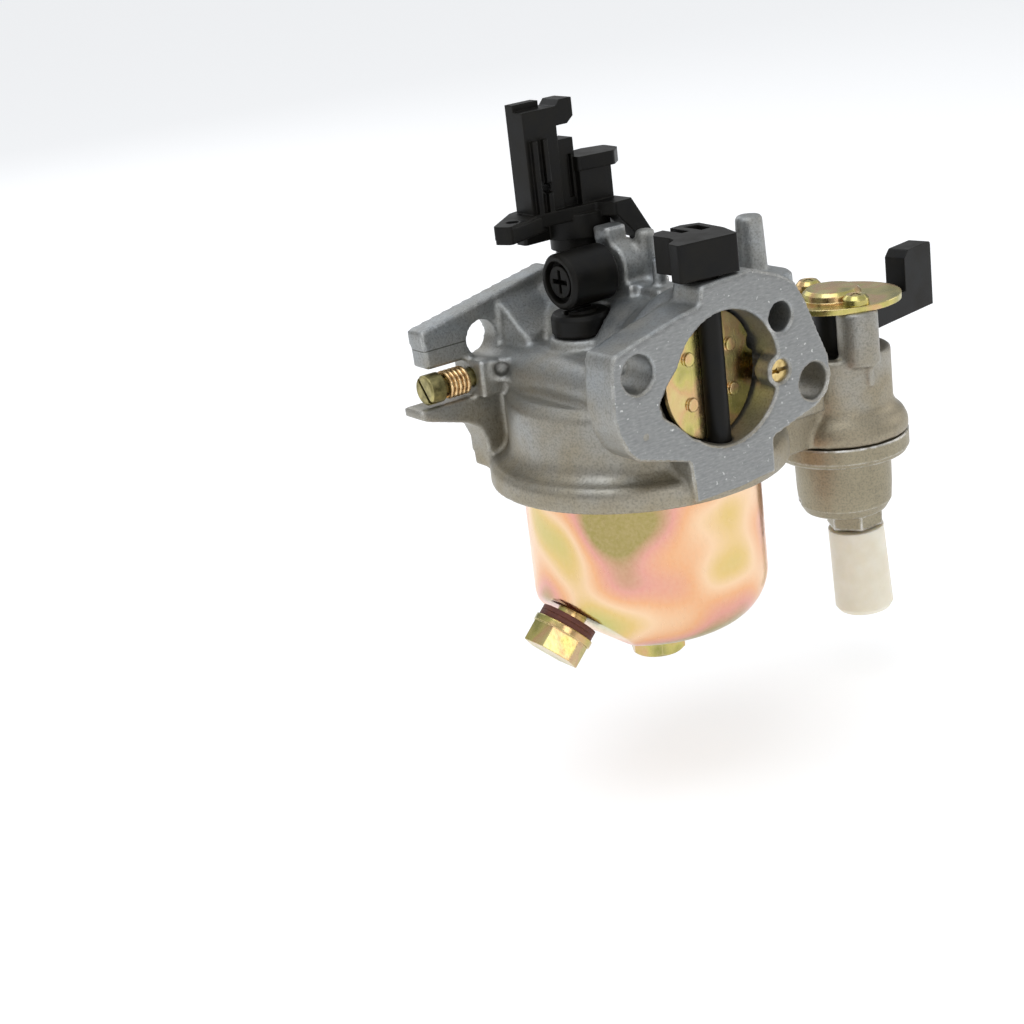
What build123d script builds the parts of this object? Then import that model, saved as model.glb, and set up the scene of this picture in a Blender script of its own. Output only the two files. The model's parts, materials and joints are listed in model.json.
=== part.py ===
from build123d import *
import math
import os

# A float-bowl carburetor for a small upright utility engine, in millimetres.
# The origin is the centre of the throttle bore on the engine's mounting face.
# -Y runs along the bore to the air-cleaner face, +Z is up and the bowl hangs down.

# ---- driving sizes -------------------------------------------------------
BODY_LENGTH = 52.0          # engine face to air-cleaner face
STUD_CIRCLE = 42.0          # both mounting faces share one pair of studs
STUD_TILT = -15.9           # degrees, how far the line of studs leans
STUD_HOLE_R = 3.5
SECTION_X = 36.0            # the casting's sections meet here on the bridge
SECTION_Z = -16.0           # and here above the chamber flange
ENGINE_FLANGE = 4.9         # thickness of the engine flange
AIR_FLANGE = 8.0            # thickness of the air-cleaner flange
HORN_R = 12.26              # air horn bore
VENTURI_R = 8.2
AIR_JET = (12.45, -1.85)    # x and z of the main air jet, beside the horn
THROTTLE_R = 9.4
RUN = 0.05                  # radial clearance of a shaft in its bore

THROTTLE_Y = -11.0          # throttle shaft axis
CHOKE_Y = -47.5             # choke shaft axis
CHOKE_OPEN = 8.0            # degrees that the choke plate stands open at rest
SHAFT_R = 2.4

BOWL = (0.35, -23.0)        # axis of the float bowl
RING_R = 28.8               # chamber flange of the casting
RING_LOW = -21.9
CHAMBER_R = 24.5
BOWL_R = 22.9
BOWL_WALL = 1.0
BOWL_LOW = -53.4           # underside of the bowl's floor
STEM_R = 4.3                # centre stem that carries the main jet
STEM_LOW = -47.5

VALVE = (55.2, -21.0)       # axis of the fuel valve and sediment cup
VALVE_R = 11.2
VALVE_RING_R = 14.0
VALVE_TOP = -12.6
VALVE_JOINT = -30.2         # where the sediment cup meets the casting
PILLAR_DIR = (0.21, 0.978)  # line through the two cover screws
PILLAR_OUT = 9.0
COVER_LOW = -2.9
COVER_THICK = 1.2
LEVER_TURN = 11.3           # degrees, where the fuel lever points at rest

IDLE_Y = -21.0              # idle speed screw axis, parallel to X
IDLE_Z = 16.7
IDLE_KNOB_R = 5.3
PILOT = (-8.5, -21.0)       # pilot jet axis
MIX_Y = -5.0                # mixture screw axis, parallel to X
MIX_Z = -1.0
FLOAT_PIN = (-5.0, -19.2)   # y and z of the float's hinge pin
NEEDLE_Y = -11.5

os.makedirs("parts", exist_ok=True)


# ---- small helpers -------------------------------------------------------
def rod(radius, start, end):
    """A round bar between two points."""
    axis = Vector(*end) - Vector(*start)
    return extrude(Plane(origin=start, z_dir=axis) * Circle(radius), axis.length)


def block(low, high):
    """A box between two opposite corners."""
    middle = [(a + b) / 2 for a, b in zip(low, high)]
    size = [b - a for a, b in zip(low, high)]
    return Pos(*middle) * Box(*size)


def outline_xz(points, near_y, far_y, corner=0.0):
    """A plate whose (x, z) outline is pushed from far_y towards -Y, to near_y."""
    plane = Plane(origin=(0, far_y, 0), x_dir=(1, 0, 0), z_dir=(0, -1, 0))
    face = Polygon(*points, align=None)
    if corner:
        face = fillet(face.vertices(), corner)
    return extrude(plane * face, far_y - near_y, dir=(0, -1, 0))


def outline_xy(points, low, high, corner=0.0):
    """A plate whose (x, y) outline is pushed up from z = low to z = high."""
    face = Polygon(*points, align=None)
    if corner:
        face = fillet(face.vertices(), corner)
    return Pos(0, 0, low) * extrude(face, high - low, dir=(0, 0, 1))


def turned(profile, centre):
    """A (radius, z) profile turned about the upright axis through centre."""
    face = Plane.XZ * Polygon(*profile, align=None)
    return Pos(centre[0], centre[1], 0) * revolve(face, Axis.Z)


def tube(outer, inner, low, high, centre):
    """An upright ring or pipe."""
    ring = Circle(outer) - Circle(inner)
    return Pos(centre[0], centre[1], low) * extrude(ring, high - low)


def hexagon(across_flats, low, high, centre):
    """An upright hexagonal bar."""
    face = RegularPolygon(across_flats / 2, 6, major_radius=False)
    return Pos(centre[0], centre[1], low) * extrude(face, high - low)


def coil(radius, wire, length, turns):
    """A helical spring standing on the XY plane."""
    path = Helix(length / turns, length, radius)
    section = Plane(origin=path @ 0, z_dir=path % 0) * Circle(wire)
    return sweep(section, path=path)


def along_x(solid, start):
    """Lay an upright solid over so that its +Z points along +X from start."""
    return Pos(*start) * Rot(0, 90, 0) * solid


def ring_point(distance, degrees, centre=(0.0, 0.0)):
    """A point at a distance and an angle from a centre."""
    turn = math.radians(degrees)
    return (centre[0] + distance * math.cos(turn), centre[1] + distance * math.sin(turn))


def save(name, solid):
    export_step(solid, f"parts/{name}.step")


STUDS = [ring_point(STUD_CIRCLE / 2, STUD_TILT + turn) for turn in (0, 180)]
PILLARS = [(VALVE[0] + side * PILLAR_OUT * PILLAR_DIR[0],
            VALVE[1] + side * PILLAR_OUT * PILLAR_DIR[1]) for side in (1, -1)]


# ---- the casting ---------------------------------------------------------
def engine_flange():
    """Flange with a long left ear, a lower arm beside the mixture screw and a web."""
    ear = outline_xz(
        [(-33.9, 9.9), (-2.7, 16.1), (-0.5, 14.4), (9.0, 14.2), (20.0, 7.0), (27.0, -1.0),
         (27.0, -9.0), (21.0, -12.5), (8.0, -15.0), (-12.0, -15.0), (-16.0, 2.5), (-33.2, 2.5)],
        -ENGINE_FLANGE, 0)
    arm = outline_xz(
        [(-36.6, -4.5), (-14.0, -4.5), (-14.0, -16.3), (-20.3, -16.3), (-20.3, -19.9),
         (-22.3, -19.9), (-22.8, -14.0), (-24.0, -11.0), (-26.5, -9.4), (-35.0, -7.0),
         (-36.6, -6.2)], -ENGINE_FLANGE - 1.2, 0)
    screw_boss = outline_xz(
        [(-24.3, -4.6), (-24.3, 2.6), (-14.0, 2.6), (-14.0, -4.6)], -9.2, 0)
    return ear + arm + screw_boss


def air_flange():
    """Air-cleaner flange with the tower for the choke shaft above it."""
    plate = outline_xz(
        [(-25.8, 8.1), (-25.1, 10.0), (-19.2, 11.6), (-9.9, 13.8), (-5.0, 14.6), (-4.7, 17.7),
         (1.5, 18.1), (7.3, 18.3), (13.8, 15.9), (17.2, 13.8), (19.5, 9.8), (22.0, 3.5),
         (24.3, -1.8), (24.6, -5.7), (23.4, -8.7), (20.7, -10.5), (16.0, -11.8),
         (9.5, -13.6), (9.2, -20.2), (-9.8, -21.0), (-10.3, -13.0), (-21.8, -9.6),
         (-23.8, -7.7), (-25.5, -4.0), (-26.3, 0.2)],
        -BODY_LENGTH, -BODY_LENGTH + AIR_FLANGE)
    return plate


def barrel():
    """Outer wall of the bore: wide at the air horn, drawn in over the venturi."""
    profile = [(0, 0), (14.2, 0), (14.2, -5.5), (12.0, -9.0), (12.0, -33.0), (15.4, -39.5),
               (15.4, -47.0), (0, -47.0)]
    face = Polygon(*profile, align=None)
    return revolve(face, Axis.Y)


def chamber():
    """Roof and flange of the float chamber, with its rolled shoulder."""
    x, y = BOWL
    wall = [(0, RING_LOW), (RING_R, RING_LOW), (RING_R, -18.4), (28.0, -17.3),
            (26.2, -16.7), (25.0, -15.6), (CHAMBER_R, -14.0), (CHAMBER_R, -5.5),
            (23.0, -3.8), (0, -2.0)]
    drum = turned(wall, BOWL)
    return drum - block((x - 40, -ENGINE_FLANGE, -15.0), (x + 40, y + 60, 20))


def deck():
    """Flat shoulder on the left that carries the pilot jet, and the slope behind it."""
    shoulder = block((-14.6, -40.0, -8.0), (4.0, -2.0, 4.3))
    tower = rod(6.4, (*PILOT, 0.0), (*PILOT, 6.1))
    back = Plane(origin=(0, -4.5, 0), x_dir=(1, 0, 0), z_dir=(0, -1, 0))
    front = Plane(origin=(0, -12.5, 0), x_dir=(1, 0, 0), z_dir=(0, -1, 0))
    tall = back * Polygon((-16.0, 12.3), (-16.0, 3.0), (2.0, 3.0), (2.0, 14.0), align=None)
    short = front * Polygon((-15.2, 5.0), (-15.2, 2.0), (2.0, 2.0), (2.0, 9.5), align=None)
    return shoulder + tower + loft([tall, short])


def side_passage():
    """Long drilled boss on the left wall, with a short plugged branch."""
    long_boss = rod(4.7, (-15.0, -1.0, -0.8), (-15.0, -46.0, -0.8))
    branch = rod(2.5, (-16.0, -3.0, 0.4), (-20.4, -10.6, 0.4))
    return long_boss + branch


def posts():
    """Screw boss, lever stops and peg towers on top of the casting."""
    screw_boss = rod(5.0, (-0.8, IDLE_Y, IDLE_Z), (4.6, IDLE_Y, IDLE_Z))
    screw_foot = block((-0.6, IDLE_Y - 4.2, 6.0), (4.4, IDLE_Y + 4.2, IDLE_Z))
    stop = outline_xy([(-1.6, -22.6), (3.0, -22.6), (3.6, -19.6), (2.6, -18.0), (-1.6, -18.0)],
                      IDLE_Z, 24.6, 0.7)
    shaft_boss = rod(4.5, (0, THROTTLE_Y, 0), (0, THROTTLE_Y, 19.2))
    peg = turned([(0, 6), (2.1, 6), (1.85, 22.8), (1.5, 23.3), (0, 23.3)], (5.4, -24.9))
    small_peg = turned([(0, 6), (1.5, 6), (1.3, 18.6), (1.0, 19.0), (0, 19.0)], (3.6, -30.4))
    peg_foot = block((-1.0, -27.4, 4.0), (8.4, -22.0, 14.2))
    small_foot = block((0.6, -33.4, 4.0), (7.0, -27.0, 13.6))
    low_foot = block((4.0, -36.0, 4.0), (13.0, -26.0, 11.4))
    tall_peg = turned([(0, 8), (3.1, 8), (2.55, 23.6), (2.1, 24.2), (0, 24.2)], (19.6, -38.0))
    pad = outline_xy([(8.0, -46.0), (22.5, -46.0), (24.6, -42.0), (24.6, -34.0), (8.0, -34.0)],
                     6.0, 13.6, 2.0)
    solids = [screw_boss, screw_foot, stop, shaft_boss, peg, small_peg, peg_foot, small_foot, low_foot,
              tall_peg, pad]
    return Part() + solids


def valve_housing():
    """Fuel valve cylinder on the right, with its ring, screw pillars and bridge."""
    profile = [(0, VALVE_JOINT), (VALVE_RING_R, VALVE_JOINT), (VALVE_RING_R, -28.0),
               (13.2, -26.2), (11.9, -25.0), (VALVE_R, -23.6), (VALVE_R, VALVE_TOP), (0, VALVE_TOP)]
    drum = turned(profile, VALVE)
    pillars = [rod(4.2, (x, y, VALVE_TOP - 1.5), (x, y, COVER_LOW)) for x, y in PILLARS]
    near = PILLARS[1]
    rib = rod(0.8, (near[0] + 0.2, near[1] - 2.6, -18.6), (near[0] + 0.2, near[1] - 2.6, -13.0))
    bridge = block((22.0, -26.0, -30.0), (46.0, -15.5, -17.5))
    low_bridge = block((20.0, -29.0, -21.9), (44.0, -12.5, -17.5))
    return Part() + [drum, *pillars, rib, bridge, low_bridge]


def bore():
    """Air path: straight horn, tapered venturi and straight throttle bore."""
    horn_end = -BODY_LENGTH + 14.0
    profile = [(0, 1), (THROTTLE_R, 1), (THROTTLE_R, -17.0), (VENTURI_R, -22.0),
               (VENTURI_R, -27.0), (HORN_R, horn_end), (HORN_R, -BODY_LENGTH - 1),
               (0, -BODY_LENGTH - 1)]
    return revolve(Polygon(*profile, align=None), Axis.Y)


def air_side_openings():
    """Recess beside the horn, vent hole, air jet hole and pilot air hole."""
    near = -BODY_LENGTH - 1
    recess = outline_xz([(-9.0, 6.8), (-13.6, 2.6), (-16.0, -0.7), (-15.5, -3.2), (-12.6, -5.4),
                         (-8.4, -9.6), (-4.0, -4.0)], near, -BODY_LENGTH + 4.6, 0.9)
    vent = rod(2.8, (13.27, near, 8.15), (13.27, -39.0, 8.15))
    jet_hole = rod(2.16, (AIR_JET[0], near, AIR_JET[1]), (AIR_JET[0], -44.0, AIR_JET[1]))
    pilot_air = rod(0.55, (-19.8, near, -5.6), (-19.8, -46.0, -5.6))
    slow_air = rod(1.5, (-13.0, -BODY_LENGTH + 4.0, -0.8), (-13.0, -8.0, -0.8))
    branch_hole = rod(1.5, (-19.2, -8.5, 0.4), (-21.0, -11.6, 0.4))
    return Part() + [recess, vent, jet_hole, pilot_air, slow_air, branch_hole]


def screw_and_shaft_holes():
    """Bores for the two shafts, both set screws and the pilot jet."""
    throttle = rod(SHAFT_R + RUN, (0, THROTTLE_Y, -13.4), (0, THROTTLE_Y, 20))
    choke = rod(SHAFT_R + RUN, (0, CHOKE_Y, -14.6), (0, CHOKE_Y, 19))
    idle = rod(1.55, (-2.0, IDLE_Y, IDLE_Z), (8.5, IDLE_Y, IDLE_Z))
    mixture = rod(1.75 + RUN, (-25.0, MIX_Y, MIX_Z), (-13.0, MIX_Y, MIX_Z))
    mixture_tip = rod(1.0, (-14.5, MIX_Y, MIX_Z), (-8.0, MIX_Y, MIX_Z))
    pilot = rod(3.0 + RUN, (*PILOT, -4.6), (*PILOT, 7))
    return Part() + [throttle, choke, idle, mixture, mixture_tip, pilot]


def float_cavity():
    """Space under the chamber roof, the bowl's seat, and the stem and hinge lugs in it."""
    x, y = BOWL
    cavity = rod(21.0, (x, y, -30), (x, y, -15.2))
    seat = rod(BOWL_R + 1.9, (x, y, -30), (x, y, -19.4))
    return cavity + seat


def stem_and_lugs():
    """Centre stem with the nozzle bore, and the two lugs that hold the float pin."""
    x, y = BOWL
    stem = rod(STEM_R, (x, y, STEM_LOW), (x, y, -14.0))
    bolt_hole = rod(2.5, (x, y, STEM_LOW - 1), (x, y, -41.0))
    nozzle_hole = rod(1.9, (x, y, -42.0), (x, y, -4.0))
    lugs = [block((side * 6.2 - 1.2, -7.4, -21.0), (side * 6.2 + 1.2, -3.4, -14.6))
            for side in (-1, 1)]
    pin_y, pin_z = FLOAT_PIN
    pin_hole = rod(0.95, (-9, pin_y, pin_z), (9, pin_y, pin_z))
    seat_boss = rod(3.6, (0, NEEDLE_Y, -16.6), (0, NEEDLE_Y, -13.5))
    seat_hole = rod(2.6, (0, NEEDLE_Y, -17.0), (0, NEEDLE_Y, -13.8))
    return (stem + seat_boss + lugs - pin_hole, bolt_hole + nozzle_hole + seat_hole)


def valve_hollows():
    """Rotor seat, fuel passage and screw holes of the fuel valve."""
    x, y = VALVE
    rotor = rod(8.2, (x, y, -17.2), (x, y, VALVE_TOP + 1))
    cup_seat = rod(8.6, (x, y, VALVE_JOINT - 1), (x, y, -22.0))
    passage = rod(1.5, (x + 3.5, y, -23.0), (x + 3.5, y, -16.5))
    feed = rod(1.5, (x - 3.5, y, -20.0), (x - 3.5, y, -16.5))
    cross = rod(1.5, (24.0, y, -19.6), (x - 2.4, y, -19.6))
    screws = [rod(1.25, (px, py, -10.5), (px, py, COVER_LOW + 1)) for px, py in PILLARS]
    return Part() + [rotor, cup_seat, passage, feed, cross, *screws]


def carburetor_body():
    stem, stem_holes = stem_and_lugs()
    solid = Part() + [engine_flange(), air_flange(), barrel(), chamber(), deck(),
                      side_passage(), posts(), valve_housing()]
    solid -= float_cavity()
    solid += stem
    studs = [rod(STUD_HOLE_R, (x, -BODY_LENGTH - 1, z), (x, 7, z)) for x, z in STUDS]
    jet_wall = rod(3.0, (AIR_JET[0], -BODY_LENGTH, AIR_JET[1]), (AIR_JET[0], -47.6, AIR_JET[1]))
    knob_room = rod(5.9, (*PILOT, 6.2), (*PILOT, 16.0))
    knob_room += rod(IDLE_KNOB_R + 0.5, (-14.0, IDLE_Y, IDLE_Z), (-1.2, IDLE_Y, IDLE_Z))
    solid = solid - bore() + jet_wall - knob_room - air_side_openings() - screw_and_shaft_holes()
    return solid - stem_holes - valve_hollows() - studs


def casting_sections():
    """The one casting cut into four simple sections, which meet face to face."""
    rest = carburetor_body()
    cuts = {
        "body_valve_housing": block((SECTION_X, -80, -60), (100, 40, 60)),
        "body_engine_flange": block((-80, -ENGINE_FLANGE, SECTION_Z), (100, 40, 60)),
        "body_air_flange": block((-80, -80, SECTION_Z), (100, AIR_FLANGE - BODY_LENGTH, 60)),
    }
    sections = {}
    for name, zone in cuts.items():
        sections[name] = rest & zone
        rest -= zone
    sections["carburetor_body"] = rest
    return sections


# ---- fuel metering pieces ------------------------------------------------
def main_nozzle():
    x, y = BOWL
    pipe = tube(1.85, 0.9, -38.0, -6.4, (x, y))
    holes = [rod(0.3, (x - 3, y, z), (x + 3, y, z)) for z in (-18, -22, -26, -30)]
    return pipe - holes


def main_jet():
    x, y = BOWL
    return tube(1.85, 0.45, -41.0, -38.2, (x, y)) - block((x - 3, y - 0.3, -41.5), (x + 3, y + 0.3, -40.3))


def main_air_jet():
    x, z = AIR_JET
    jet = rod(2.12, (x, -51.0, z), (x, -48.2, z)) - rod(0.6, (x, -52, z), (x, -48, z))
    return jet - block((x - 3, -51.5, z - 0.35), (x + 3, -50.2, z + 0.35))


def pilot_jet():
    x, y = PILOT
    head = turned([(0, 6.3), (5.2, 6.3), (5.6, 6.8), (5.6, 9.6), (5.1, 10.4), (3.2, 10.4),
                   (3.2, 10.9), (0, 10.9)], PILOT)
    head -= block((x - 3.4, y - 0.6, 10.1), (x + 3.4, y + 0.6, 11.2))
    stem = rod(3.0, (x, y, -4.4), (x, y, 6.4)) - tube(3.4, 2.2, 2.4, 4.0, PILOT)
    return head + stem - rod(0.4, (x, y, -5.0), (x, y, 2.0))


def pilot_jet_o_ring():
    x, y = PILOT
    return Pos(x, y, 3.2) * Torus(2.58, 0.38)


def needle_seat():
    return tube(2.58, 1.35, -16.9, -14.0, (0, NEEDLE_Y))


def float_needle():
    tip_low = -17.4
    return turned([(0, -21.6), (1.0, -21.6), (1.3, -21.2), (1.3, -18.4), (0.5, tip_low + 0.1),
                   (0, tip_low + 0.1)], (0, NEEDLE_Y))


def float_ring():
    x, y = BOWL
    low, high = -42.0, -30.0
    ring = tube(17.4, 8.6, low, high, (x, y))
    pin_y, pin_z = FLOAT_PIN
    strap = block((-4.6, -12.5, -30.2), (4.6, -9.6, -22.9))
    tang = block((-4.6, -13.0, -23.0), (4.6, -3.8, -22.0))
    ears = [block((side * 4.1 - 0.5, pin_y - 1.6, -23.0), (side * 4.1 + 0.5, pin_y + 1.6, -17.6))
            for side in (-1, 1)]
    pin_hole = rod(0.9 + RUN, (-8, pin_y, pin_z), (8, pin_y, pin_z))
    ring = fillet(ring.edges().filter_by(GeomType.CIRCLE), 1.6)
    return ring + strap + tang + ears - pin_hole


def float_pin():
    pin_y, pin_z = FLOAT_PIN
    return rod(0.9, (-8.2, pin_y, pin_z), (8.2, pin_y, pin_z))


# ---- float bowl ----------------------------------------------------------
def bowl_blank(inset, top):
    """Pressed drum with a wide rounded corner and a slanting flat for the drain."""
    x, y = BOWL
    radius = BOWL_R - inset
    drum = rod(radius, (x, y, BOWL_LOW + inset), (x, y, top))
    drum = fillet(drum.edges().sort_by(Axis.Z)[0], 9.5 - inset)
    slant = Plane(origin=drain_point(inset), x_dir=(0, 1, 0), z_dir=(-1, 0, -1))
    drum -= extrude(slant * Rectangle(120, 120), 40)
    creases = drum.edges().filter_by(
        lambda edge: abs(slant.to_local_coords(edge.center()).Z) < 1.5 and edge.length > 4)
    return fillet(creases, 2.6 - inset)


def float_bowl():
    x, y = BOWL
    rim = tube(24.6, 20.0, -21.4, -19.9, BOWL)
    seat = rod(7.4, (x, y, -54.3), (x, y, -47.8))
    inside = bowl_blank(BOWL_WALL, -19.0) - rod(5.0, (x, y, -60), (x, y, -47.8))
    drain_nut = rod(5.0, drain_point(0.2), drain_point(3.0))
    solid = bowl_blank(0.0, -19.9) + rim + seat - inside + drain_nut
    solid -= rod(3.1, (x, y, -60), (x, y, -40))
    return solid - rod(3.0, drain_point(-3), drain_point(8))


def drain_point(depth):
    """A point on the drain bolt's axis, depth mm in from the facet."""
    step = depth / math.sqrt(2)
    return (-19.4 + step, BOWL[1], -46.6 + step)


def bowl_gasket():
    return tube(24.4, 22.2, -19.8, -19.45, BOWL)


def bowl_bolt():
    x, y = BOWL
    shank = rod(2.95, (x, y, -56), (x, y, -48.4)) + rod(2.45, (x, y, -48.5), (x, y, -43.0))
    flange = turned([(0, -56.6), (6.4, -56.6), (7.0, -56.0), (7.0, -55.3), (0, -55.3)], BOWL)
    head = hexagon(10.0, -60.4, -56.4, BOWL)
    crown = turned([(0, -60.4), (5.0, -60.4), (6.6, -58.8), (6.6, -55), (0, -55)], BOWL)
    return shank + flange + (head & crown)


def bowl_bolt_washer():
    return tube(6.2, 3.1, -55.2, -54.3, BOWL)


def drain_frame(depth):
    """Plane across the drain bolt's axis, facing out of the bowl."""
    return Plane(origin=drain_point(depth), x_dir=(0, 1, 0), z_dir=(-1, 0, -1))


def drain_washer(start):
    ring = Circle(5.6) - Circle(3.05)
    return extrude(drain_frame(-start) * ring, 1.0)


def drain_bolt():
    shank = rod(2.9, drain_point(3.8), drain_point(-3.5))
    flange = extrude(drain_frame(-3.2) * Circle(6.0), 1.3)
    head = extrude(drain_frame(-4.4) * RegularPolygon(5.0, 6, major_radius=False), 4.4)
    chamfer_cone = extrude(drain_frame(-3.0) * Circle(7.6), 6.0, taper=18)
    return shank + flange + (head & chamfer_cone)


# ---- throttle ------------------------------------------------------------
def throttle_shaft():
    shaft = rod(SHAFT_R, (0, THROTTLE_Y, -13.2), (0, THROTTLE_Y, 27.0))
    slot = block((-12, THROTTLE_Y - 0.5, -10.2), (12, THROTTLE_Y + 0.5, 10.2))
    screw_hole = rod(1.05, (0, THROTTLE_Y - 4, 0), (0, THROTTLE_Y + 4, 0))
    return shaft - slot - screw_hole


def throttle_plate():
    disc = rod(THROTTLE_R - 0.15, (0, THROTTLE_Y - 0.45, 0), (0, THROTTLE_Y + 0.45, 0))
    return disc - rod(1.05, (0, THROTTLE_Y - 4, 0), (0, THROTTLE_Y + 4, 0))


def throttle_plate_screw():
    shank = rod(0.98, (0, THROTTLE_Y + 2.2, 0), (0, THROTTLE_Y - 2.6, 0))
    head = rod(1.9, (0, THROTTLE_Y - 2.5, 0), (0, THROTTLE_Y - 3.7, 0))
    return shank + head - block((-2.5, THROTTLE_Y - 4.0, -0.3), (2.5, THROTTLE_Y - 3.2, 0.3))


def throttle_seal():
    return tube(4.2, SHAFT_R + RUN, 19.25, 19.55, (0, THROTTLE_Y))


def throttle_lever():
    """Moulded lever: hub, deck, governor post, link step, flanged block and stop leg."""
    hub = rod(5.2, (0, THROTTLE_Y, 19.9), (0, THROTTLE_Y, 27.0))
    hub += rod(6.6, (0, THROTTLE_Y, 22.4), (0, THROTTLE_Y, 27.0))
    deck_plate = outline_xy(
        [(-12.0, -15.4), (-20.6, -19.0), (-22.0, -15.6), (-13.0, -8.2), (-4.0, -6.2), (6.6, -7.0),
         (7.0, -20.4), (2.6, -20.4), (1.0, -16.6)], 26.0, 28.5, 0.8)
    arm = outline_xy([(-9.5, -15.0), (-20.6, -19.0), (-22.0, -15.6), (-12.0, -10.0), (-6.0, -9.0)],
                     25.2, 28.0, 0.8)
    post = block((-12.1, -14.6, 28.0), (-4.7, -9.4, 47.3))
    post += block((-12.1, -11.8, 47.0), (-6.3, -9.4, 48.6))
    hook = outline_xz([(-5.0, 47.3), (-5.0, 43.8), (-2.2, 43.8), (-0.7, 45.0), (-0.7, 48.4),
                       (-3.4, 48.4), (-4.4, 47.3)], -14.6, -9.4)
    step = block((-5.0, -14.0, 28.0), (-0.9, -9.8, 41.0)) - block((-2.6, -15, 30), (-1.6, -13.0, 38))
    body = block((-1.2, -15.6, 28.0), (6.2, -9.6, 35.2))
    cap = outline_xy([(-1.4, -15.8), (6.0, -17.2), (8.9, -14.6), (9.2, -10.0), (5.0, -8.4),
                      (-1.4, -9.0)], 34.8, 37.4, 0.9)
    post_ribs = [block((x - 0.5, -15.6, 28.0), (x + 0.5, -14.5, 42.0)) for x in (-10.6, -8.2)]
    stop_leg = outline_xz([(3.0, 28.5), (6.6, 28.5), (10.8, 21.6), (10.8, 14.9), (8.0, 14.9),
                           (8.0, 20.6), (3.0, 26.0)], -20.4, -16.8)
    toe = block((8.0, -22.0, 14.9), (10.8, -20.0, 19.0))
    side_rib = outline_xz([(4.0, 28.5), (6.6, 28.5), (11.4, 20.0), (10.0, 20.0), (4.0, 26.4)],
                          -16.9, -11.0)
    ear = outline_xy([(-12.4, -11.6), (-12.4, -8.4), (-3.0, -7.0), (-3.0, -11.6)], 22.5, 26.2, 0.7)
    solid = Part() + [hub, deck_plate, arm, post, hook, step, body, cap, *post_ribs, stop_leg,
                      toe, side_rib, ear]
    rod_hole = rod(1.25, (-17.6, -15.6, 24), (-17.6, -15.6, 30))
    spring_hole = rod(1.0, (-8.4, -17, 33.0), (-8.4, -8, 33.0))
    return solid - rod_hole - spring_hole - rod(SHAFT_R, (0, THROTTLE_Y, 18), (0, THROTTLE_Y, 27.05))


# ---- choke ---------------------------------------------------------------
def choke_shaft():
    """Moulded choke shaft: flat bar across the bore and a notched finger head on top."""
    bar = rod(SHAFT_R, (0, CHOKE_Y, -14.3), (0, CHOKE_Y, 19.0))
    flat = block((-4, CHOKE_Y + 0.5, -12.8), (4, CHOKE_Y + 4, 12.8))
    bar -= Pos(0, CHOKE_Y, 0) * Rot(0, 0, CHOKE_OPEN) * Pos(0, -CHOKE_Y, 0) * flat
    head = outline_xy(
        [(-7.6, -50.2), (-7.2, -47.2), (-4.6, -45.6), (-4.0, -43.6), (-4.2, -39.4), (-2.2, -37.4),
         (4.2, -37.0), (7.2, -38.6), (6.6, -46.0), (4.6, -52.0)], 18.6, 25.4, 0.5)
    link_slot = block((-0.2, -42.6, 22.4), (1.6, -36.0, 26))
    pocket = outline_xy([(3.2, -38.8), (5.8, -39.8), (5.4, -44.0), (3.2, -44.0)], 23.0, 26)
    return bar + head - link_slot - pocket


def choke_plate():
    """Pressed plate with four dimples and a relief notch."""
    thick = 0.9
    back = CHOKE_Y + 0.55 + thick
    disc = rod(11.75, (0, back - thick, 0), (0, back, 0))
    disc -= rod(1.6, (11.9, back - 2, 3.2), (11.9, back + 1, 3.2))
    for x in (-5.6, 5.6):
        for z in (-4.2, 4.2):
            disc += rod(1.25, (x, back - thick - 0.55, z), (x, back - thick + 0.2, z))
    return Pos(0, CHOKE_Y, 0) * Rot(0, 0, CHOKE_OPEN) * Pos(0, -CHOKE_Y, 0) * disc


# ---- set screws ----------------------------------------------------------
def idle_speed_screw():
    """Black knob with a driver recess; its screw runs on through the boss."""
    start, end = -12.8, -2.7
    knob = rod(IDLE_KNOB_R, (start, IDLE_Y, IDLE_Z), (end, IDLE_Y, IDLE_Z))
    knob = chamfer(knob.edges().filter_by(GeomType.CIRCLE).sort_by(Axis.X)[0], 0.6)
    knob -= rod(4.0, (start - 1, IDLE_Y, IDLE_Z), (start + 1.6, IDLE_Y, IDLE_Z))
    plug = rod(3.0, (start + 0.4, IDLE_Y, IDLE_Z), (start + 3, IDLE_Y, IDLE_Z))
    cross = [block((start, IDLE_Y - w, IDLE_Z - h), (start + 2.0, IDLE_Y + w, IDLE_Z + h))
             for w, h in ((2.2, 0.45), (0.45, 2.2))]
    knob -= rod(3.7, (start + 3.6, IDLE_Y, IDLE_Z), (end + 1, IDLE_Y, IDLE_Z))
    stem = rod(1.5, (start + 2.6, IDLE_Y, IDLE_Z), (6.6, IDLE_Y, IDLE_Z))
    return knob + plug - cross + stem


def idle_screw_spring():
    start, end = -9.1, -1.9
    return along_x(coil(2.5, 0.4, end - start - 0.8, 5), (start + 0.4, IDLE_Y, IDLE_Z))


def mixture_screw():
    head = rod(2.9, (-34.8, MIX_Y, MIX_Z), (-31.2, MIX_Y, MIX_Z))
    head = chamfer(head.edges().filter_by(GeomType.CIRCLE), 0.35)
    slot = Pos(-34.8, MIX_Y, MIX_Z) * Rot(-38, 0, 0) * Box(2.4, 0.8, 8)
    shank = rod(1.75, (-31.3, MIX_Y, MIX_Z), (-16.0, MIX_Y, MIX_Z))
    taper = Pos(-16.05, MIX_Y, MIX_Z) * Rot(0, 90, 0) * Pos(0, 0, 1.3) * Cone(1.6, 0.7, 2.6)
    needle = rod(0.7, (-13.6, MIX_Y, MIX_Z), (-10.6, MIX_Y, MIX_Z))
    return head - slot + shank + taper + needle


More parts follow.
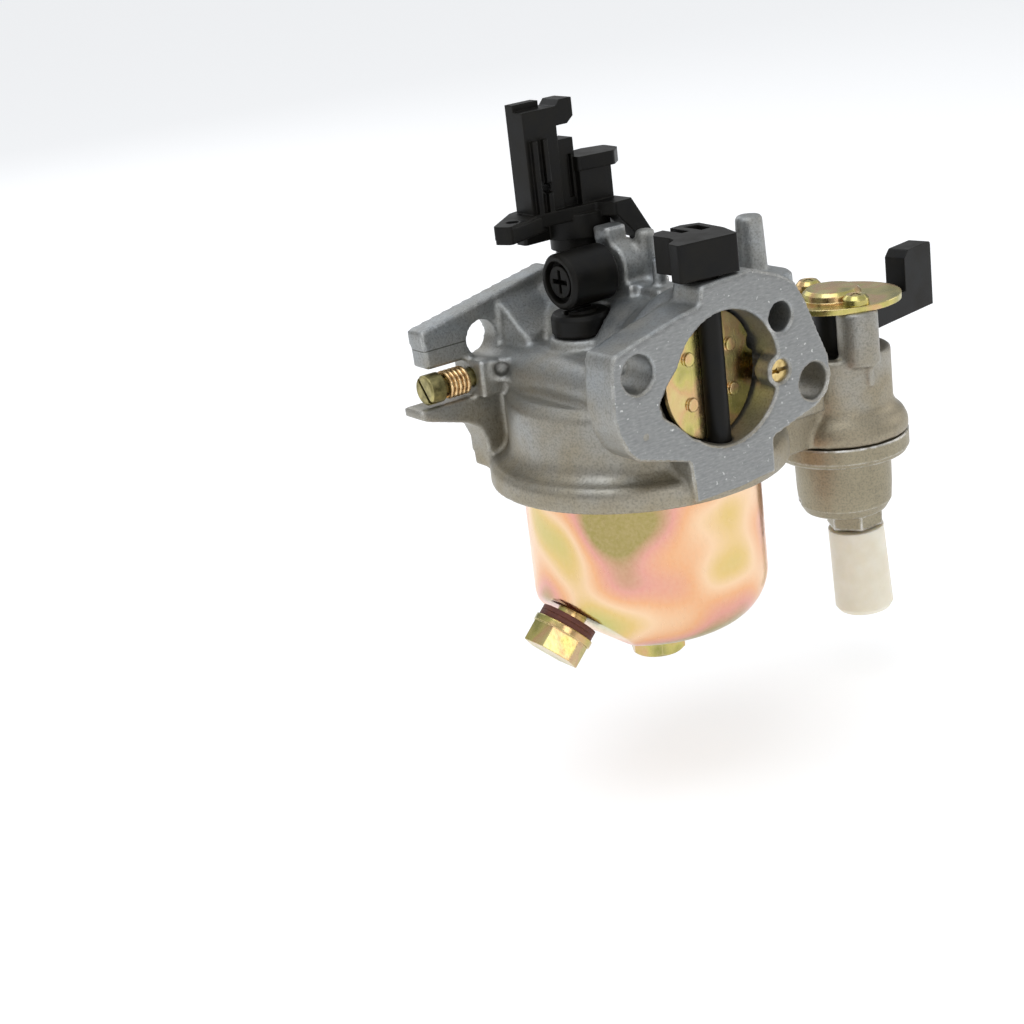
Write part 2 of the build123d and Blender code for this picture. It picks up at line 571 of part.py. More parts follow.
def mixture_spring():
    start, end = -31.1, -25.4
    return along_x(coil(2.35, 0.45, end - start - 1.0, 5), (start + 0.5, MIX_Y, MIX_Z))


# ---- fuel valve ----------------------------------------------------------
def valve_pose(solid):
    """Turn a piece drawn along +X round to where the fuel lever points."""
    return Pos(*VALVE, 0) * Rot(0, 0, LEVER_TURN) * solid


def fuel_valve_lever():
    rotor = rod(7.9, (0, 0, -15.9), (0, 0, -12.9)) + rod(4.4, (0, 0, -13.0), (0, 0, -4.2))
    arm = block((0, -2.4, -11.5), (33.6, 2.4, -6.2))
    tab = outline_xz([(23.4, -11.5), (33.6, -11.5), (33.6, 2.3), (25.0, 2.3), (23.4, 0.8)],
                     -2.4, 2.4)
    tab = fillet(tab.edges().filter_by(Axis.Y).sort_by(Axis.Z)[-2:], 0.8)
    ports = tube(5.2, 2.0, -16.2, -14.6, (0, 0)) & block((-1, -6, -17), (6, 6, -14))
    return valve_pose(rotor + arm + tab - ports)


def valve_seal():
    x, y = VALVE
    disc = rod(7.9, (x, y, -17.1), (x, y, -16.1))
    holes = [rod(1.5, (x + dx, y + dy, -18), (x + dx, y + dy, -15))
             for dx, dy in ((3.5, 0), (-3.5, 0), (0, 3.5), (0, -3.5))]
    return disc - holes


def valve_wave_washer():
    return tube(4.3, 2.4, -3.9, -3.2, VALVE)


def fuel_valve_cover():
    """Pressed oval cover with a raised centre."""
    centre = (56.3, -21.7)
    low, high = COVER_LOW, COVER_LOW + COVER_THICK
    oval = Pos(*centre, low) * Rot(0, 0, -33) * extrude(Ellipse(12.8, 11.5), high - low)
    dome = turned([(0, high - 0.1), (6.15, high - 0.1), (5.9, high + 1.2), (5.2, high + 1.9),
                   (0, high + 2.1)], VALVE)
    hollow = turned([(0, low - 0.5), (5.2, low - 0.5), (5.0, high + 0.3), (4.4, high + 1.0),
                     (0, high + 1.1)], VALVE)
    holes = [rod(1.7, (x, y, low - 1), (x, y, high + 1)) for x, y in PILLARS]
    return oval + dome - hollow - holes


def fuel_valve_screw(x, y):
    top = COVER_LOW + COVER_THICK
    head = turned([(0, top + 0.02), (2.7, top + 0.02), (2.6, top + 1.2), (1.9, top + 2.0),
                   (0, top + 2.3)], (x, y))
    cross = [block((x - w, y - h, top + 1.2), (x + w, y + h, top + 3))
             for w, h in ((1.5, 0.3), (0.3, 1.5))]
    return head - cross + rod(1.2, (x, y, -9.8), (x, y, top + 0.1))


# ---- sediment cup --------------------------------------------------------
INLET_SHIFT = (1.4, -0.95)
INLET_LEAN = 2.6


def inlet_pose(solid):
    """Place a piece drawn about Z at the inlet, leaning with the pipe."""
    x, y = VALVE[0] + INLET_SHIFT[0], VALVE[1] + INLET_SHIFT[1]
    return Pos(x, y, -48) * Rot(0, 0, -33.4) * Rot(0, -INLET_LEAN, 0) * Pos(0, 0, 48) * solid


def sediment_cup():
    x, y = VALVE
    profile = [(0, -48.0), (6.6, -48.0), (8.6, -47.2), (9.7, -45.4), (9.95, -42.0),
               (10.1, -35.0), (13.4, -34.6), (VALVE_RING_R, -33.6),
               (VALVE_RING_R, VALVE_JOINT - 0.25), (0, VALVE_JOINT - 0.25)]
    cup = turned(profile, VALVE)
    spigot = rod(8.4, (x, y, -31), (x, y, -28.4))
    neck = hexagon(10.4, -51.2, -47.9, (x + INLET_SHIFT[0], y + INLET_SHIFT[1]))
    inside = rod(7.4, (x, y, -44.6), (x, y, -20))
    groove = tube(9.0, 7.6, -30.0, -29.0, VALVE)
    notch = block((-12, -1.6, -46.2), (-9.3, 1.6, -44.2))
    notches = [Pos(x, y, 0) * Rot(0, 0, turn) * notch for turn in (-33.4, 146.6)]
    pipe_hole = inlet_pose(rod(2.2, (0, 0, -52), (0, 0, -43)))
    return cup + spigot + neck - inside - groove - notches - pipe_hole


def sediment_o_ring():
    return Pos(*VALVE, -29.5) * Torus(8.05, 0.42)


def fuel_strainer():
    x, y = VALVE
    sleeve = tube(6.9, 6.3, -41.0, -28.6, VALVE)
    lid = rod(6.9, (x, y, -28.8), (x, y, -28.2))
    return sleeve + lid


def fuel_inlet_pipe():
    pipe = rod(2.2, (0, 0, -66.0), (0, 0, -44.9))
    barbs = [Pos(0, 0, z) * Cone(2.6, 3.3, 2.4) for z in (-56.5, -60.0, -63.5)]
    return inlet_pose(Part() + [pipe, *barbs] - rod(1.4, (0, 0, -67), (0, 0, -44)))


def inlet_cap():
    profile = [(3.6, -51.9), (5.85, -51.9), (6.15, -69.4), (5.5, -70.4), (0, -70.4),
               (0, -68.6), (3.6, -68.6)]
    return inlet_pose(turned(profile, (0, 0)))


# ---- write every piece ---------------------------------------------------
PIECES = {
    **casting_sections(),
    "main_nozzle": main_nozzle(),
    "main_jet": main_jet(),
    "main_air_jet": main_air_jet(),
    "pilot_jet": pilot_jet(),
    "pilot_jet_o_ring": pilot_jet_o_ring(),
    "needle_seat": needle_seat(),
    "float_needle": float_needle(),
    "float": float_ring(),
    "float_pin": float_pin(),
    "float_bowl": float_bowl(),
    "bowl_gasket": bowl_gasket(),
    "bowl_bolt": bowl_bolt(),
    "bowl_bolt_washer": bowl_bolt_washer(),
    "drain_bolt": drain_bolt(),
    "drain_fibre_washer": drain_washer(0.1 + 1.0),
    "drain_inner_washer": drain_washer(0.05 + 2.1),
    "throttle_shaft": throttle_shaft(),
    "throttle_plate": throttle_plate(),
    "throttle_plate_screw": throttle_plate_screw(),
    "throttle_seal": throttle_seal(),
    "throttle_lever": throttle_lever(),
    "choke_shaft": choke_shaft(),
    "choke_plate": choke_plate(),
    "idle_speed_screw": idle_speed_screw(),
    "idle_screw_spring": idle_screw_spring(),
    "mixture_screw": mixture_screw(),
    "mixture_spring": mixture_spring(),
    "fuel_valve_lever": fuel_valve_lever(),
    "valve_seal": valve_seal(),
    "valve_wave_washer": valve_wave_washer(),
    "fuel_valve_cover": fuel_valve_cover(),
    "fuel_valve_screws": Compound([fuel_valve_screw(*spot) for spot in PILLARS]),
    "sediment_cup": sediment_cup(),
    "sediment_o_ring": sediment_o_ring(),
    "fuel_strainer": fuel_strainer(),
    "fuel_inlet_pipe": fuel_inlet_pipe(),
    "inlet_cap": inlet_cap(),
}

for piece_name, piece in PIECES.items():
    save(piece_name, piece)
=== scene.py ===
# %% [markdown]
# # A small engine's carburetor
# This lesson dresses a carburetor whose exact solids come from a CAD model. Blender adds what CAD
# leaves out: sand-cast skin, machined faces, yellow zinc plating, moulded plastic and worn edges, which
# on the casting also carry a painted highlight.
# The CAD model is loaded first and is never moved, so every new piece is placed from its sizes.

# %% Load the exact model
import json
import math
import bmesh
import bpy
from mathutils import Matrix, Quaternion, Vector


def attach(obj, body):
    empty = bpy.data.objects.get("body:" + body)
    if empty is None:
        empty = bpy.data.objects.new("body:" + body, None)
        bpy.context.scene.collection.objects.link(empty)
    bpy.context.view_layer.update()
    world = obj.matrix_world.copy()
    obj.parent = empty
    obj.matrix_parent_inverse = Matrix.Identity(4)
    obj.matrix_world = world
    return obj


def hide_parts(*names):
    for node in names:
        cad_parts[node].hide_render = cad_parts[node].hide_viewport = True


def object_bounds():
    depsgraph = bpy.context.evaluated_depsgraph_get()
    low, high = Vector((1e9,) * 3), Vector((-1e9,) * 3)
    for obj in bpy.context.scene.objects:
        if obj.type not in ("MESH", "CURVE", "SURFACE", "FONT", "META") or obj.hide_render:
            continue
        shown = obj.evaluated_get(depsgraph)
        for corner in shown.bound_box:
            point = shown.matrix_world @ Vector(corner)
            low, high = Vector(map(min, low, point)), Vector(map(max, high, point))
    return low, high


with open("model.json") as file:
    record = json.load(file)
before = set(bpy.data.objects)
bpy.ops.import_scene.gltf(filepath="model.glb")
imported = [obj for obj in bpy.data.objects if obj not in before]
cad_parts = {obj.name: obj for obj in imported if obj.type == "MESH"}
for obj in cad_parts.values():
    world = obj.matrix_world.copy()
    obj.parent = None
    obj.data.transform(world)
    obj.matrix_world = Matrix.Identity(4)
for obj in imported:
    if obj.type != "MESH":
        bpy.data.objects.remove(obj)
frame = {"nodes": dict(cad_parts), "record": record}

CAD_LOW, CAD_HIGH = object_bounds()
MM = 0.001
print("pieces from CAD:", len(frame["nodes"]))
print("overall size in mm:", [round(side / MM, 1) for side in CAD_HIGH - CAD_LOW])

# %% [markdown]
# ## The camera
# A view is easiest to describe by where it looks from: how far round, how high, and how much the
# camera is rolled. A long lens from close by keeps the front flange large and the lines calm.

# %% Camera
AZIMUTH, ELEVATION, ROLL = (math.radians(angle) for angle in (-33.44, 19.14, -7.03))
LOOK_AT = Vector((-28.38, -20.0, -23.83)) * MM
DISTANCE = 379.67 * MM

away = Vector((math.sin(AZIMUTH) * math.cos(ELEVATION),
               -math.cos(AZIMUTH) * math.cos(ELEVATION),
               math.sin(ELEVATION)))
camera_data = bpy.data.cameras.new("camera")
camera_data.lens = 71.4
camera_data.sensor_width = 36.0
camera_data.clip_start = 0.01
camera = bpy.data.objects.new("camera", camera_data)
camera.location = LOOK_AT + away * DISTANCE
camera.rotation_mode = "QUATERNION"
camera.rotation_quaternion = away.to_track_quat("Z", "Y") @ Quaternion((0, 0, 1), ROLL)
bpy.context.scene.collection.objects.link(camera)
bpy.context.scene.camera = camera
print("camera stands at", [round(part, 3) for part in camera.location])

# %% [markdown]
# ## Small helpers for shader nodes
# Every finish below is a handful of nodes. `add` makes a node and fills its sockets by name, and
# `mottle` is a noise pattern whose grain size is given in millimetres on the real piece.

# %% Shader helpers
def add(tree, kind, **values):
    """A shader node with its sockets filled: a socket is linked, anything else is its value."""
    made = tree.nodes.new("ShaderNode" + kind)
    for name, value in values.items():
        socket = made.inputs[name.replace("_", " ")]
        if isinstance(value, bpy.types.NodeSocket):
            tree.links.new(value, socket)
        else:
            socket.default_value = value
    return made


def mottle(tree, size, detail=3.0, stretch=(1, 1, 1)):
    """Noise from 0 to 1 whose lumps are about size mm across, fixed to the piece."""
    place = add(tree, "TexCoord").outputs["Object"]
    placed = add(tree, "Mapping", Vector=place, Scale=stretch).outputs["Vector"]
    return add(tree, "TexNoise", Vector=placed, Scale=1 / (size * MM), Detail=detail,
               Roughness=0.6).outputs["Fac"]


def ramp(tree, factor, stops):
    """Colours or greys along a 0 to 1 factor."""
    made = add(tree, "ValToRGB", Fac=factor)
    band = made.color_ramp
    while len(band.elements) < len(stops):
        band.elements.new(0.5)
    for element, (position, colour) in zip(band.elements, stops):
        element.position = position
        if isinstance(colour, float):
            colour = (colour, colour, colour)
        element.color = (*colour, 1)
    return made.outputs["Color"]


def blend(tree, factor, first, second, how="MIX"):
    """Two colours mixed by a factor."""
    made = tree.nodes.new("ShaderNodeMix")
    made.data_type = "RGBA"
    made.blend_type = how
    sockets = made.inputs[0], made.inputs[6], made.inputs[7]
    for socket, value in zip(sockets, (factor, first, second)):
        if isinstance(value, bpy.types.NodeSocket):
            tree.links.new(value, socket)
        else:
            socket.default_value = value
    return made.outputs[2]


def calculate(tree, how, first, second=0.0, third=0.0):
    """One step of arithmetic on the pattern, kept between 0 and 1."""
    made = tree.nodes.new("ShaderNodeMath")
    made.operation = how
    made.use_clamp = True
    for socket, value in zip(made.inputs, (first, second, third)):
        if isinstance(value, bpy.types.NodeSocket):
            tree.links.new(value, socket)
        else:
            socket.default_value = value
    return made.outputs[0]


def start_finish(name, metallic, roughness):
    """An empty finish: the material, its node tree and its main shader."""
    material = bpy.data.materials.new(name)
    material.use_nodes = True
    surface = material.node_tree.nodes["Principled BSDF"]
    surface.inputs["Metallic"].default_value = metallic
    surface.inputs["Roughness"].default_value = roughness
    return material, material.node_tree, surface


FINISH = {}
print("shader helpers ready")

# %% [markdown]
# ## Rounded and rubbed edges
# A casting and a moulding have no knife edges. The Bevel node bends the shading round each edge by
# a given radius, and where its normal parts from the true one there is an edge, which handling rubs
# bright. That gives one mask for wear on every finish, and on the casting it also paints a highlight
# along the edges.

# %% Edge helper
def soft_edges(tree, radius):
    """(normal rounded over the edges, mask that is 1 on an edge) for a radius in mm."""
    bevel = add(tree, "Bevel", Radius=radius * MM)
    bevel.samples = 6
    rounded = bevel.outputs["Normal"]
    true_normal = add(tree, "NewGeometry").outputs["Normal"]
    dot = tree.nodes.new("ShaderNodeVectorMath")
    dot.operation = "DOT_PRODUCT"
    tree.links.new(rounded, dot.inputs[0])
    tree.links.new(true_normal, dot.inputs[1])
    mask = ramp(tree, dot.outputs["Value"], [(0.90, 1.0), (0.985, 0.0)])
    return rounded, mask


def roughen(tree, height, depth, normal):
    """Bump of a given depth in mm on top of another normal."""
    return add(tree, "Bump", Height=height, Distance=depth * MM, Strength=1.0,
               Normal=normal).outputs["Normal"]


print("edge helper ready")

# %% [markdown]
# ## Die-cast alloy
# The body is cast in alloy and then tumbled, so its skin is a fine sand texture with larger soft
# waves. It is a dull metal that is cooler where it is clean, tan where residue stays in soft patches,
# and painted tan towards the bottom as painted warm light from below.
# mounting faces are milled afterwards: they are flat, carry fine tool marks and are pecked with
# bright nicks, so the same finish switches to them in a thin layer at the very front and back of
# the bore. A thin dark seam runs round the outer ear where the two halves of the die met.

# %% Cast alloy
SEAM_HEIGHT = (6.0, 6.25)
EAR_LIMIT = (-20.0, -20.0)
MILLED_FACES = (-51.93, -0.07)


def cast_alloy(name, clean, tan_for_stain_and_underglow):
    """Sand-textured casting with milled faces at both ends of the bore."""
    material, tree, surface = start_finish(name, 0.85, 0.45)
    rounded, edge = soft_edges(tree, 1.0)
    sand = mottle(tree, 0.42, 4.0)
    pits = ramp(tree, mottle(tree, 1.1, 5.0), [(0.36, 0.0), (0.47, 1.0)])
    waves = mottle(tree, 7.0, 2.0)
    skin = calculate(tree, "MULTIPLY_ADD", sand, 0.75, calculate(tree, "MULTIPLY", pits, 0.25))

    place = add(tree, "TexCoord").outputs["Object"]
    across = add(tree, "SeparateXYZ", Vector=place).outputs
    front = calculate(tree, "LESS_THAN", across["Y"], MILLED_FACES[0] * MM)
    back = calculate(tree, "GREATER_THAN", across["Y"], MILLED_FACES[1] * MM)
    milled = calculate(tree, "MAXIMUM", front, back)

    # Painted warm light from below: the colour turns tan towards the bottom, mixed with real tan residue
    # in soft patches.
    low = calculate(tree, "MULTIPLY_ADD", across["Z"], -22.0, 0.20)
    stain_and_underglow = calculate(tree, "ADD", low, calculate(tree, "MULTIPLY_ADD", waves, 0.9, -0.22))
    colour = blend(tree, stain_and_underglow, clean, tan_for_stain_and_underglow)
    grime = calculate(tree, "MULTIPLY", ramp(tree, sand, [(0.3, 1.0), (0.55, 0.0)]), 0.45)
    colour = blend(tree, grime, colour, (0.10, 0.095, 0.08, 1))
    scratch = mottle(tree, 0.5, 4.0, (0.35, 1.0, 1.3))
    face = ramp(tree, scratch, [(0.3, (0.21, 0.215, 0.215)), (0.6, (0.29, 0.295, 0.29)),
                                (0.8, (0.42, 0.42, 0.41))])
    speck = ramp(tree, mottle(tree, 0.9, 2.0), [(0.68, 0.0), (0.74, 0.8)])
    face = blend(tree, speck, face, (0.80, 0.80, 0.78, 1))
    colour = blend(tree, milled, colour, face)
    above = calculate(tree, "GREATER_THAN", across["Z"], SEAM_HEIGHT[0] * MM)
    below = calculate(tree, "LESS_THAN", across["Z"], SEAM_HEIGHT[1] * MM)
    outside = calculate(tree, "LESS_THAN", across["X"], EAR_LIMIT[0] * MM)
    on_ear = calculate(tree, "GREATER_THAN", across["Y"], EAR_LIMIT[1] * MM)
    seam = calculate(tree, "MULTIPLY", calculate(tree, "MULTIPLY", above, below),
                     calculate(tree, "MULTIPLY", outside, on_ear))
    colour = blend(tree, seam, colour, (0.13, 0.13, 0.12, 1))
    # Bright rubbed edges: partly real wear and partly a painted highlight along the casting's edges.
    patchy = ramp(tree, mottle(tree, 1.6, 4.0), [(0.38, 0.2), (0.56, 1.0)])
    edge_wear_and_highlight = calculate(tree, "MULTIPLY", edge, patchy)
    colour = blend(tree, edge_wear_and_highlight, colour, (0.86, 0.85, 0.82, 1))
    tree.links.new(colour, surface.inputs["Base Color"])

    rough = blend(tree, milled, ramp(tree, waves, [(0.3, 0.37), (0.7, 0.52)]),
                  ramp(tree, scratch, [(0.3, 0.34), (0.7, 0.46)]))
    tree.links.new(blend(tree, edge_wear_and_highlight, rough, (0.3, 0.3, 0.3, 1)), surface.inputs["Roughness"])
    quiet = calculate(tree, "SUBTRACT", 1.0, calculate(tree, "MULTIPLY", milled, 0.93))
    relief = calculate(tree, "MULTIPLY", skin, quiet)
    tree.links.new(roughen(tree, relief, 0.085, rounded), surface.inputs["Normal"])
    return material


FINISH["cast_alloy"] = cast_alloy("die cast alloy", (0.33, 0.355, 0.375, 1),
                                  (0.35, 0.305, 0.22, 1))
CUP_ALLOY = cast_alloy("cup alloy", (0.40, 0.38, 0.33, 1), (0.34, 0.30, 0.21, 1))
print("cast finishes:", FINISH["cast_alloy"].name, "and", CUP_ALLOY.name)

# %% [markdown]
# ## Yellow zinc plating
# The bowl, bolts and choke plate are steel with a chromate film that shows peach, pink and green in
# soft clouds. The colour belongs partly to the film's thickness and is partly painted light: on the bowl
# the cream clouds are a painted highlight and the dark olive ones a painted reflection. A slow noise
# pattern picks it from a ramp, and a second, stretched one adds the drawing marks of the press.

# %% Yellow zinc
def yellow_zinc(name, cloud, stops, roughness):
    """Polished plating whose colour drifts in clouds of the given size in mm: film tint, with painted
    highlights and reflections where the stops hold them.
    """
    material, tree, surface = start_finish(name, 1.0, roughness)
    rounded, edge = soft_edges(tree, 0.35)
    # The clouds carry painted light too: on the bowl their cream is a painted highlight and their dark
    # olive a painted reflection.
    film_and_painted_reflection = mottle(tree, cloud, 1.0)
    colour = ramp(tree, film_and_painted_reflection, stops)
    haze = ramp(tree, mottle(tree, 0.7, 5.0), [(0.35, 0.0), (0.75, 0.2)])
    colour = blend(tree, haze, colour, (0.78, 0.58, 0.40, 1))
    colour = blend(tree, calculate(tree, "MULTIPLY", edge, 0.5), colour, (0.88, 0.72, 0.40, 1))
    tree.links.new(colour, surface.inputs["Base Color"])
    drawn = mottle(tree, 0.5, 4.0, (1.0, 1.0, 0.25))
    tree.links.new(ramp(tree, drawn, [(0.3, roughness - 0.07), (0.7, roughness + 0.09)]),
                   surface.inputs["Roughness"])
    tree.links.new(roughen(tree, drawn, 0.006, rounded), surface.inputs["Normal"])
    return material


# CREAM_FILM_AND_HIGHLIGHT is partly a painted highlight and OLIVE_FILM_AND_REFLECTION partly a painted
# dark reflection on the bowl's plating.
PEACH, PINK, GOLD = (0.80, 0.42, 0.22), (0.72, 0.34, 0.28), (0.72, 0.52, 0.20)
GREEN, CREAM_FILM_AND_HIGHLIGHT, OLIVE_FILM_AND_REFLECTION = (0.50, 0.50, 0.17), (0.86, 0.60, 0.38), (0.34, 0.28, 0.10)
FINISH["yellow_zinc"] = yellow_zinc("yellow zinc", 24.0, [
    (0.34, OLIVE_FILM_AND_REFLECTION), (0.42, PINK), (0.49, PEACH), (0.56, CREAM_FILM_AND_HIGHLIGHT), (0.62, GOLD), (0.72, GREEN)], 0.20)
PLATE_ZINC = yellow_zinc("yellow zinc on small parts", 6.0, [
    (0.3, (0.30, 0.29, 0.08)), (0.45, (0.52, 0.46, 0.14)), (0.55, (0.60, 0.38, 0.18)),
    (0.7, (0.62, 0.54, 0.22))], 0.22)
print("plating clouds on the bowl are 24 mm wide")

# %% [markdown]
# ## Moulded black plastic
# The levers and knobs are glass-filled nylon: nearly black, satin, with a faint flow pattern and a
# fine grain. Rubbed edges turn a little paler, never bright. The float, the strainer, the rubber
# seals and the fibre washers use the same recipe with their own colours.

# %% Black moulding
def moulding(name, colour, rubbed, roughness, grain=0.35, depth=0.012):
    """Satin plastic with a fine grain and slightly paler edges."""
    material, tree, surface = start_finish(name, 0.0, roughness)
    rounded, edge = soft_edges(tree, 0.4)
    flow = mottle(tree, 5.0, 3.0)
    patchy = ramp(tree, mottle(tree, 1.4, 4.0), [(0.4, 0.1), (0.65, 1.0)])
    worn = calculate(tree, "MULTIPLY", edge, patchy)
    base = blend(tree, ramp(tree, flow, [(0.35, 0.0), (0.7, 0.6)]), colour, rubbed)
    tree.links.new(blend(tree, worn, base, rubbed), surface.inputs["Base Color"])
    tree.links.new(ramp(tree, flow, [(0.3, roughness - 0.08), (0.7, roughness + 0.08)]),
                   surface.inputs["Roughness"])
    fine = mottle(tree, grain, 3.0)
    tree.links.new(roughen(tree, fine, depth, rounded), surface.inputs["Normal"])
    return material


FINISH["black_moulding"] = moulding("black moulding", (0.002, 0.002, 0.002, 1),
                                    (0.010, 0.0085, 0.005, 1), 0.44)
black_surface = FINISH["black_moulding"].node_tree.nodes["Principled BSDF"]
black_surface.inputs["Specular IOR Level"].default_value = 0.2
FINISH["float_plastic"] = moulding("float plastic", (0.05, 0.05, 0.05, 1),
                                   (0.10, 0.10, 0.10, 1), 0.45)
FINISH["strainer_plastic"] = moulding("strainer plastic", (0.70, 0.70, 0.64, 1),
                                      (0.8, 0.8, 0.75, 1), 0.5)
FINISH["rubber"] = moulding("fuel-proof rubber", (0.018, 0.018, 0.018, 1),
                            (0.05, 0.05, 0.05, 1), 0.62)
FINISH["fibre"] = moulding("fibre washer", (0.085, 0.018, 0.012, 1), (0.20, 0.06, 0.03, 1),
                           0.6, grain=0.25, depth=0.03)
print("finishes so far:", ", ".join(FINISH))

# %% [markdown]
# ## The soft inlet cap
# A blow-moulded polythene cap keeps dirt out of the fuel inlet. Light sinks into it and comes back
# creamy, which is what subsurface scattering does, so the cap has a small scattering depth.

# %% Inlet cap finish
cap_finish = moulding("polythene cap", (0.76, 0.70, 0.56, 1), (0.86, 0.82, 0.72, 1),
                      0.42, grain=0.8, depth=0.02)
cap_surface = cap_finish.node_tree.nodes["Principled BSDF"]
cap_surface.inputs["Subsurface Weight"].default_value = 0.55
cap_surface.inputs["Subsurface Scale"].default_value = 2.5 * MM
cap_surface.inputs["Subsurface Radius"].default_value = (1.0, 0.85, 0.6)
FINISH["cap_plastic"] = cap_finish
print("light travels about 2.5 mm into the cap")

# %% [markdown]
# ## Turned metals
# Brass jets, steel shafts and wound springs were cut or drawn, so they carry fine rings or lines.
# They share one recipe: a metal with a short-grained noise in its roughness and its colour.

# %% Turned metals
def turned_metal(name, colour, dull, roughness):
    """Cut or drawn metal with fine tool marks and a thin tarnish."""
    material, tree, surface = start_finish(name, 1.0, roughness)
    rounded, edge = soft_edges(tree, 0.2)
    tarnish = ramp(tree, mottle(tree, 1.6, 4.0), [(0.35, 0.0), (0.7, 1.0)])
    base = blend(tree, tarnish, colour, dull)
    tree.links.new(blend(tree, calculate(tree, "MULTIPLY", edge, 0.6), base, colour),
                   surface.inputs["Base Color"])
    marks = mottle(tree, 0.3, 2.0, (4.0, 1.0, 1.0))
    tree.links.new(ramp(tree, marks, [(0.3, roughness - 0.06), (0.7, roughness + 0.1)]),
                   surface.inputs["Roughness"])
    tree.links.new(roughen(tree, marks, 0.01, rounded), surface.inputs["Normal"])
    return material


FINISH["brass"] = turned_metal("turned brass", (0.86, 0.66, 0.30, 1),
                               (0.50, 0.36, 0.15, 1), 0.28)
FINISH["olive_brass"] = turned_metal("dull brass", (0.46, 0.40, 0.18, 1),
                                     (0.16, 0.14, 0.06, 1), 0.34)
FINISH["spring_bronze"] = turned_metal("spring wire", (0.90, 0.66, 0.36, 1),
                                       (0.42, 0.24, 0.10, 1), 0.24)
FINISH["steel"] = turned_metal("turned steel", (0.62, 0.62, 0.63, 1),
                               (0.36, 0.36, 0.37, 1), 0.3)
print("finishes in all:", len(FINISH))

# %% [markdown]
# ## Give each CAD piece its finish
# The record names a material slot for each CAD piece, and each slot has a finish above. A few
# pieces get a variant: the sediment cup is a warmer casting, and small plated parts have smaller clouds.

# %% Assign finishes
SPECIAL = {"sediment_cup": CUP_ALLOY, "choke_plate": PLATE_ZINC, "fuel_valve_cover": PLATE_ZINC,
           "fuel_valve_screws": PLATE_ZINC, "bowl_bolt": PLATE_ZINC, "drain_bolt": PLATE_ZINC}
for entry in frame["record"]["subparts"]:
    piece = frame["nodes"][entry["node"]]
    finish = SPECIAL.get(entry["node"], FINISH[entry["material_slot"]])
    for slot in piece.material_slots:
        slot.material = finish

# %% [markdown]
# ## The casting as one soft-edged skin
# The CAD model holds the casting in four sections, so that its physics hulls stay simple. The real
# one is a single pour with rounded edges everywhere. The sections are merged, rebuilt as one even
# skin by a voxel remesh, and relaxed slightly, which rounds every edge as draft and tumbling do.

# %% Casting
SECTIONS = ("carburetor_body", "body_engine_flange", "body_air_flange", "body_valve_housing")
SKIN_STEP = 0.48

pour = bmesh.new()
for section in SECTIONS:
    pour.from_mesh(frame["nodes"][section].data)
bmesh.ops.remove_doubles(pour, verts=pour.verts, dist=0.002 * MM)
pour_mesh = bpy.data.meshes.new("pour")
pour.to_mesh(pour_mesh)
pour.free()
draft = bpy.data.objects.new("draft casting", pour_mesh)
bpy.context.scene.collection.objects.link(draft)
remesh = draft.modifiers.new("even skin", "REMESH")
remesh.mode = "VOXEL"
remesh.voxel_size = SKIN_STEP * MM
relax = draft.modifiers.new("relax", "SMOOTH")
relax.factor = 0.5
relax.iterations = 3
thin = draft.modifiers.new("fewer faces", "DECIMATE")
thin.ratio = 0.66
skin_mesh = bpy.data.meshes.new_from_object(
    draft.evaluated_get(bpy.context.evaluated_depsgraph_get()))
bpy.data.objects.remove(draft)
skin_mesh.name = "casting"
for face in skin_mesh.polygons:
    face.use_smooth = True
casting = bpy.data.objects.new("casting", skin_mesh)
bpy.context.scene.collection.objects.link(casting)
skin_mesh.materials.clear()
skin_mesh.materials.append(FINISH["cast_alloy"])
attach(casting, "casting")
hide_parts(*SECTIONS)
print("faces in the casting's skin:", len(skin_mesh.polygons))

# %% [markdown]
# ## Floor and studio light
# The part hangs over a plain pale floor, high enough for the inlet cap to be pulled off downwards.
# Large soft lights copy a photo tent: one broad light above and to the left, and weaker ones at the
# front, the right and the back, with a world that grows brighter towards the top.

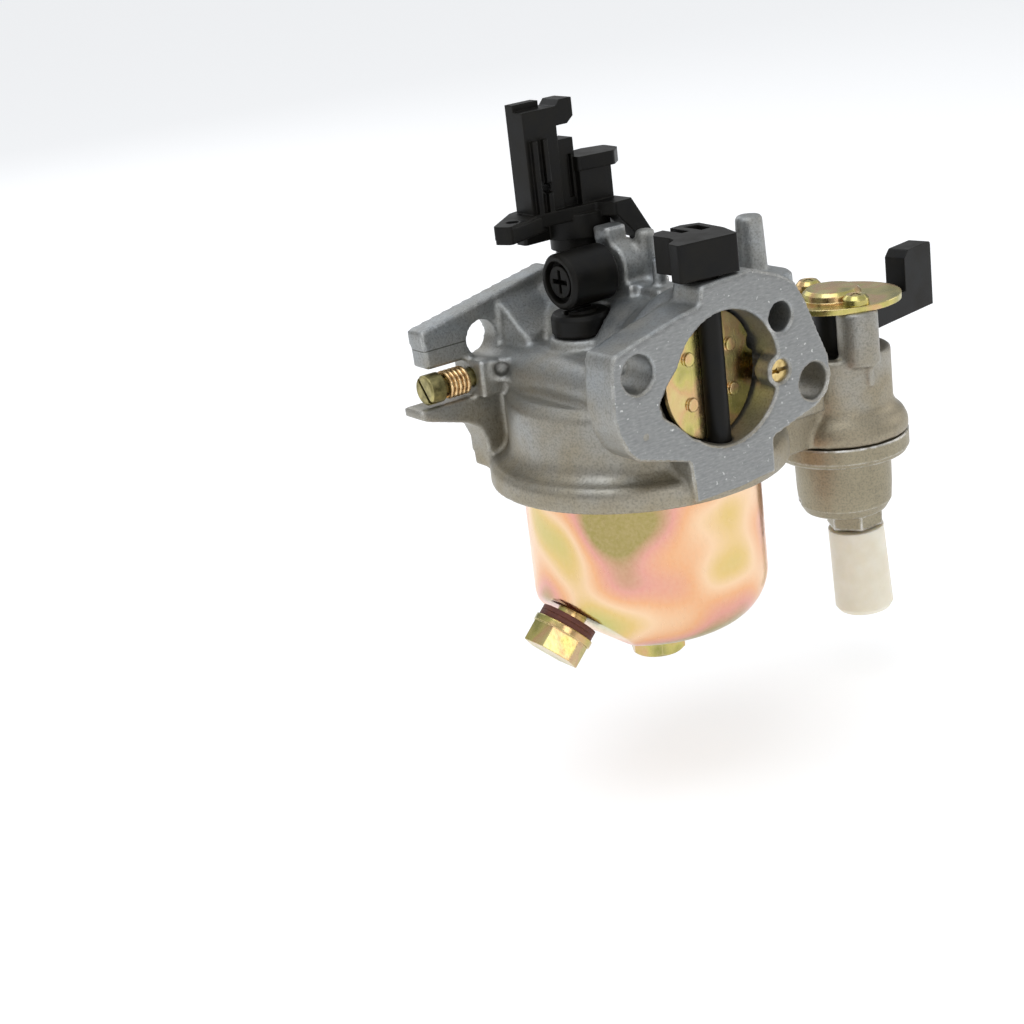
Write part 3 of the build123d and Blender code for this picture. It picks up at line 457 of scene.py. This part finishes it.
# %% Floor
CAP_TRAVEL = 16.0 * MM
FLOOR_HEIGHT = CAD_LOW.z - 1.05 * CAP_TRAVEL
FLOOR_REACH = 60.0
floor_mesh = bpy.data.meshes.new("floor")
floor_shape = bmesh.new()
bmesh.ops.create_grid(floor_shape, x_segments=1, y_segments=1, size=FLOOR_REACH)
bmesh.ops.translate(floor_shape, verts=floor_shape.verts, vec=(0, 0, FLOOR_HEIGHT))
floor_shape.to_mesh(floor_mesh)
floor_shape.free()
floor = bpy.data.objects.new("floor", floor_mesh)
floor_finish, _, floor_surface = start_finish("pale floor", 0.0, 0.9)
floor_surface.inputs["Base Color"].default_value = (0.93, 0.93, 0.93, 1)
floor_surface.inputs["Emission Color"].default_value = (1.0, 0.99, 0.97, 1)
floor_surface.inputs["Emission Strength"].default_value = 0.26
floor_mesh.materials.append(floor_finish)
bpy.context.scene.collection.objects.link(floor)
print("floor height in mm:", round(FLOOR_HEIGHT / MM, 1))

# %% Lights
MIDDLE = (CAD_LOW + CAD_HIGH) / 2


def soft_light(name, offset, size, power, colour):
    """A square area light aimed at the middle of the part; the offset is in metres."""
    data = bpy.data.lights.new(name, "AREA")
    data.size = size
    data.energy = power
    data.color = colour
    light = bpy.data.objects.new(name, data)
    light.location = MIDDLE + Vector(offset)
    light.rotation_mode = "QUATERNION"
    light.rotation_quaternion = Vector(offset).to_track_quat("Z", "Y")
    bpy.context.scene.collection.objects.link(light)


soft_light("top light", (-0.25, -0.10, 0.75), 0.55, 2.0, (0.93, 0.96, 1.0))
soft_light("front light", (-0.30, -0.85, 0.35), 0.40, 1.1, (1.0, 0.99, 0.97))
soft_light("right light", (0.75, -0.25, 0.25), 0.35, 0.8, (1.0, 0.98, 0.95))
soft_light("back light", (0.10, 0.80, 0.45), 0.50, 1.0, (0.97, 0.98, 1.0))

world = bpy.data.worlds.new("studio")
world.use_nodes = True
sky = world.node_tree.nodes["Background"]
direction = add(world.node_tree, "TexCoord").outputs["Generated"]
up = add(world.node_tree, "SeparateXYZ", Vector=direction).outputs["Z"]
tent = ramp(world.node_tree, up, [(0.0, (0.36, 0.355, 0.345)), (0.22, (0.44, 0.44, 0.43)),
                                  (0.45, (0.62, 0.63, 0.65)), (1.0, (0.70, 0.73, 0.77))])
world.node_tree.links.new(tent, sky.inputs["Color"])
bpy.context.scene.world = world
bpy.context.scene.view_settings.view_transform = "Standard"
